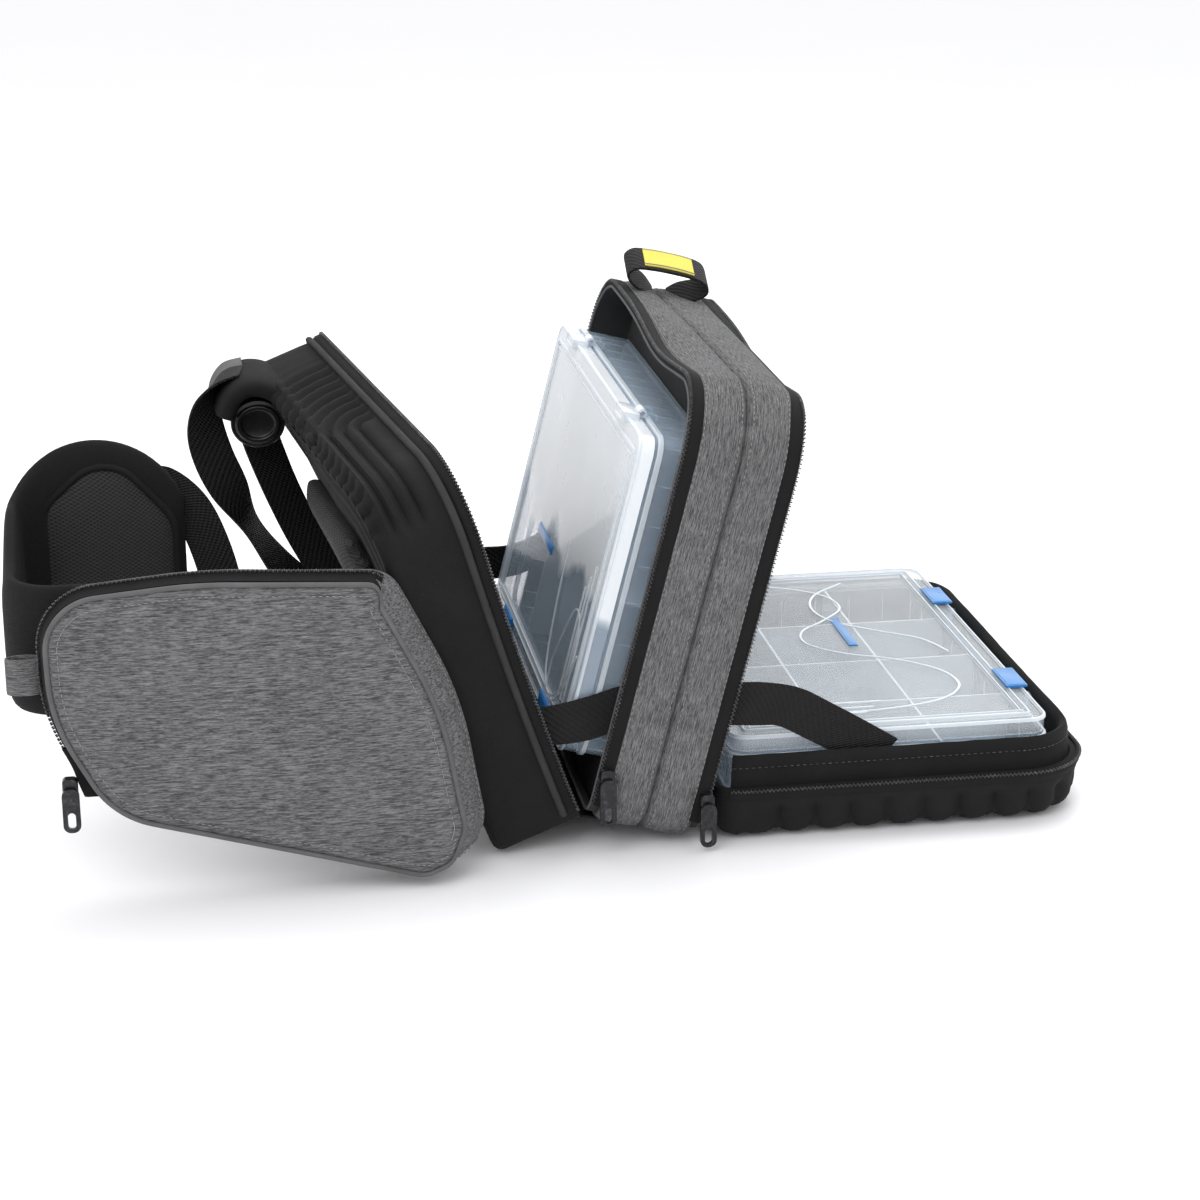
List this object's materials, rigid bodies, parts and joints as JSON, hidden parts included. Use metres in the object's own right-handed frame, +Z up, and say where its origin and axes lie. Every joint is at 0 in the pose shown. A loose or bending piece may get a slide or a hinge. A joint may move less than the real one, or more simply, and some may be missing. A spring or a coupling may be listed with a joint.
{
  "type": "fishing tackle bag",
  "caption": "Hip-sling tackle bag opened like a book: moulded tray, soft centre and moulded back zipped along three sides, side pocket wing and two clear divided boxes.",
  "frame": {"origin": "centre of the tray's flat resting face, on the ground", "axes": "+Z up, +X from the hinge edges towards the tray's far edge, -Y the side that carries the hip wing and its pocket"},
  "size_m": [0.5923, 0.3318, 0.2744],
  "materials": {
    "grey_fabric": "two-tone grey melange polyester weave, matt",
    "black_fabric": "black brushed polyester, matt",
    "moulded_shell": "heat-moulded foam faced with black fabric, matt",
    "spacer_mesh": "black spacer mesh with open cells",
    "webbing": "black nylon webbing with a ribbed weave",
    "zipper": "black zipper tape with a moulded coil",
    "zipper_hardware": "black lacquer, semi-gloss",
    "yellow_patch": "plain moulded rubber patch",
    "clear_plastic": "clear polypropylene with a blue tint",
    "frosted_lid": "clear polypropylene with a lightly frosted face",
    "blue_latch": "glossy blue plastic"
  },
  "bodies": {
    "centre_section": {"rear_gusset": "grey_fabric", "front_gusset": "grey_fabric", "centre_lining": "black_fabric", "rear_zip_tape": "zipper", "front_edge_zip_tape": "zipper", "divider_panel": "black_fabric", "base_pad": "black_fabric", "base_strip_panel": "black_fabric", "rear_hinge_cord": "black_fabric", "front_hinge_cord": "black_fabric", "grab_handle": "webbing", "handle_patch": "yellow_patch", "front_zip_slider": "zipper_hardware", "rear_zip_slider": "zipper_hardware", "front_stay_strap_near": "webbing", "front_stay_strap_far": "webbing", "rear_stay_strap_near": "webbing", "rear_stay_strap_far": "webbing"},
    "tray": {"front_shell": "moulded_shell", "front_floor_pad": "black_fabric", "front_lip": "black_fabric", "front_zip_tape": "zipper"},
    "back_section": {"back_shell": "moulded_shell", "back_zip_tape": "zipper", "back_piping": "grey_fabric", "lumbar_pad": "spacer_mesh", "shoulder_strap_pad": "black_fabric", "strap_buckle": "zipper_hardware", "outer_strap_webbing": "webbing", "inner_strap_webbing": "webbing"},
    "hip_wing": {"wing_pad": "black_fabric", "side_pocket_gusset": "grey_fabric", "side_pocket_panel": "grey_fabric", "side_pocket_zip_tape": "zipper", "side_pocket_zip_slider": "zipper_hardware", "wing_tip_pad": "black_fabric", "wing_tip_mesh": "spacer_mesh", "tool_loop": "grey_fabric", "belt_webbing": "webbing"},
    "front_pull": {"front_zip_pull": "zipper_hardware"},
    "rear_pull": {"rear_zip_pull": "zipper_hardware"},
    "pocket_pull": {"side_pocket_zip_pull": "zipper_hardware"},
    "flat_box": {"flat_box_base": "clear_plastic", "flat_box_dividers": "clear_plastic"},
    "flat_lid": {"flat_box_lid": "frosted_lid"},
    "flat_latch_near": {"flat_box_latch_near": "blue_latch"},
    "flat_latch_far": {"flat_box_latch_far": "blue_latch"},
    "upright_box": {"upright_box_base": "clear_plastic", "upright_box_dividers": "clear_plastic"},
    "upright_lid": {"upright_box_lid": "frosted_lid"},
    "upright_latch_near": {"upright_box_latch_near": "blue_latch"},
    "upright_latch_far": {"upright_box_latch_far": "blue_latch"}
  },
  "joints": [
    {"name": "tray_fold", "type": "hinge", "parent": "centre_section", "child": "tray", "pos_m": [-0.1095, 0, 0.031], "axis": [0, 1, 0], "range_deg": [-76, 0], "deforming": ["front_stay_strap_near", "front_stay_strap_far"]},
    {"name": "back_fold", "type": "hinge", "parent": "centre_section", "child": "back_section", "pos_m": [-0.18031, 0, 0.01774], "axis": [0, -1, 0], "range_deg": [-36, 0], "deforming": ["rear_stay_strap_near", "rear_stay_strap_far"]},
    {"name": "wing_swing", "type": "hinge", "parent": "back_section", "child": "hip_wing", "pos_m": [-0.19886, -0.153, 0.01025], "axis": [-0.3746, 0, 0.9272], "range_deg": [0, 25]},
    {"name": "flat_box_lift", "type": "slide", "parent": "tray", "child": "flat_box", "axis": [0.2079, 0, 0.9781], "range_m": [0, 0.08]},
    {"name": "flat_lid_hinge", "type": "hinge", "parent": "flat_box", "child": "flat_lid", "pos_m": [-0.0998, 0, 0.04715], "axis": [0, -1, 0], "range_deg": [0, 62]},
    {"name": "flat_latch_near_flip", "type": "hinge", "parent": "flat_lid", "child": "flat_latch_near", "pos_m": [0.086, -0.075, 0.0525], "axis": [0, -1, 0], "range_deg": [0, 90]},
    {"name": "flat_latch_far_flip", "type": "hinge", "parent": "flat_lid", "child": "flat_latch_far", "pos_m": [0.086, 0.075, 0.0525], "axis": [0, -1, 0], "range_deg": [0, 90]},
    {"name": "upright_box_lift", "type": "slide", "parent": "centre_section", "child": "upright_box", "axis": [-0.3746, 0, 0.9272], "range_m": [0, 0.12]},
    {"name": "upright_lid_hinge", "type": "hinge", "parent": "upright_box", "child": "upright_lid", "pos_m": [-0.13917, 0, 0.22885], "axis": [0, 1, 0], "range_deg": [0, 12]},
    {"name": "upright_latch_near_flip", "type": "hinge", "parent": "upright_lid", "child": "upright_latch_near", "pos_m": [-0.18931, 0.075, 0.04987], "axis": [0, 1, 0], "range_deg": [0, 90]},
    {"name": "upright_latch_far_flip", "type": "hinge", "parent": "upright_lid", "child": "upright_latch_far", "pos_m": [-0.18931, -0.075, 0.04987], "axis": [0, 1, 0], "range_deg": [0, 90]},
    {"name": "front_pull_swing", "type": "hinge", "parent": "centre_section", "child": "front_pull", "pos_m": [-0.11435, -0.1586, 0.02683], "axis": [-1, 0, 0], "range_deg": [0, 75]},
    {"name": "rear_pull_swing", "type": "hinge", "parent": "centre_section", "child": "rear_pull", "pos_m": [-0.16966, -0.1586, 0.04474], "axis": [-1, 0, 0], "range_deg": [0, 75]},
    {"name": "pocket_pull_swing", "type": "hinge", "parent": "hip_wing", "child": "pocket_pull", "pos_m": [-0.45231, -0.1783, 0.06754], "axis": [-1, 0, 0], "range_deg": [0, 75]}
  ]
}
